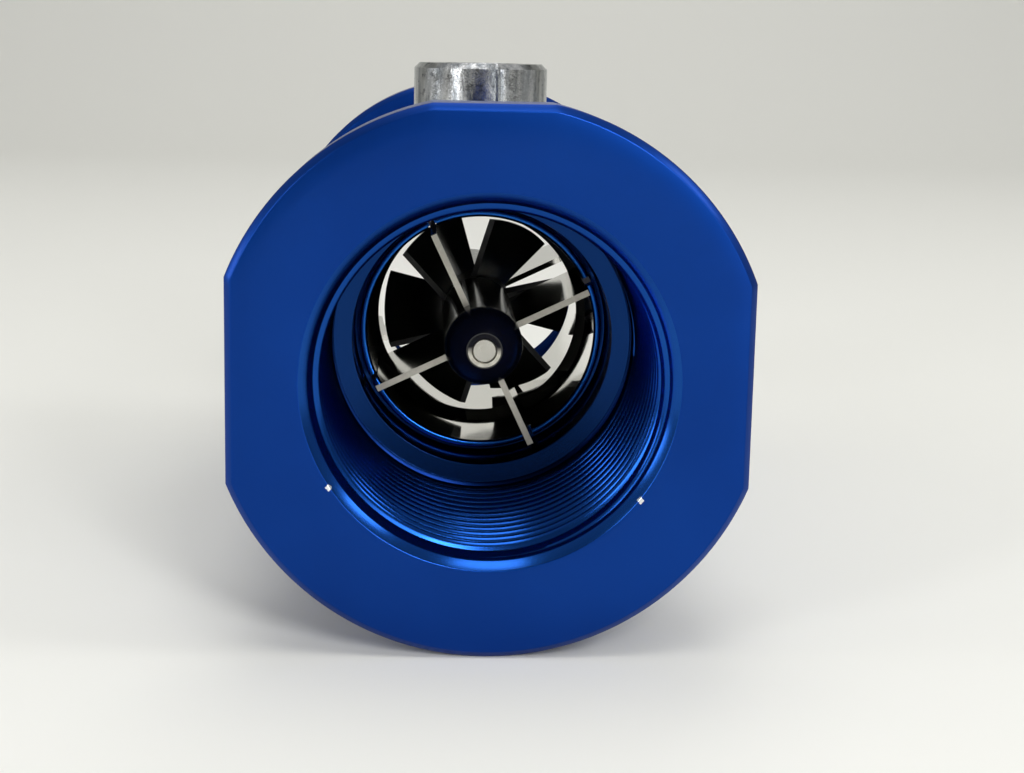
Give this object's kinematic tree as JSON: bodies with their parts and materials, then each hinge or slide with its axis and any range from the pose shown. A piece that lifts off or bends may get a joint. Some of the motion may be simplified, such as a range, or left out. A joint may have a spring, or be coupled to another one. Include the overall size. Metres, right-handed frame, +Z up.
{
  "type": "turbine flow meter",
  "caption": "Turbine flow meter with threaded pipe ports at both ends, a vaned shaft support each side of a spinning bladed rotor, and a magnetic pickup in a boss on top.",
  "frame": {"origin": "under the middle of the housing, at the height of its lowest point; the bore axis is 32.25 mm above it", "axes": "+Y along the bore from the inlet to the outlet, +Z up through the pickup boss, +X to the right seen from the inlet"},
  "size_m": [0.06, 0.124, 0.0676],
  "materials": {
    "blue_anodising": "satin blue anodised, turned",
    "bright_metal": "bright plated, scuffed",
    "steel": "stainless, fine ground",
    "black_hub": "gloss black",
    "black_rotor": "blackened steel",
    "bearing_polymer": "filled polymer, matt",
    "rubber": "matt",
    "magnet": "nickel plated",
    "bobbin_plastic": "moulded, natural",
    "copper_wire": "enamelled wire",
    "resin": "cast resin",
    "insert_plastic": "moulded, matt",
    "gold_contact": "gold plated"
  },
  "bodies": {
    "meter_body": {"housing": "blue_anodising", "measuring_sleeve": "blue_anodising", "inlet_hub": "black_hub", "inlet_vane_1": "steel", "inlet_vane_2": "steel", "inlet_vane_3": "steel", "inlet_vane_4": "steel", "inlet_shaft_bush": "steel", "inlet_thrust_washer": "bearing_polymer", "outlet_hub": "black_hub", "outlet_vane_1": "steel", "outlet_vane_2": "steel", "outlet_vane_3": "steel", "outlet_vane_4": "steel", "outlet_shaft_bush": "steel", "outlet_thrust_washer": "bearing_polymer", "shaft": "steel", "pickup_boss": "bright_metal", "boss_seal": "rubber", "pole_piece": "steel", "pickup_magnet": "magnet", "coil_bobbin": "bobbin_plastic", "coil_winding": "copper_wire", "potting": "resin", "connector_insert": "insert_plastic", "socket_contacts": "gold_contact"},
    "rotor": {"rotor": "black_rotor", "inlet_rotor_bearing": "bearing_polymer", "outlet_rotor_bearing": "bearing_polymer"}
  },
  "joints": [
    {"name": "rotor_spin", "type": "hinge", "parent": "meter_body", "child": "rotor", "pos_m": [0, 0.002, 0.03225], "axis": [0, 1, 0], "continuous": true}
  ]
}
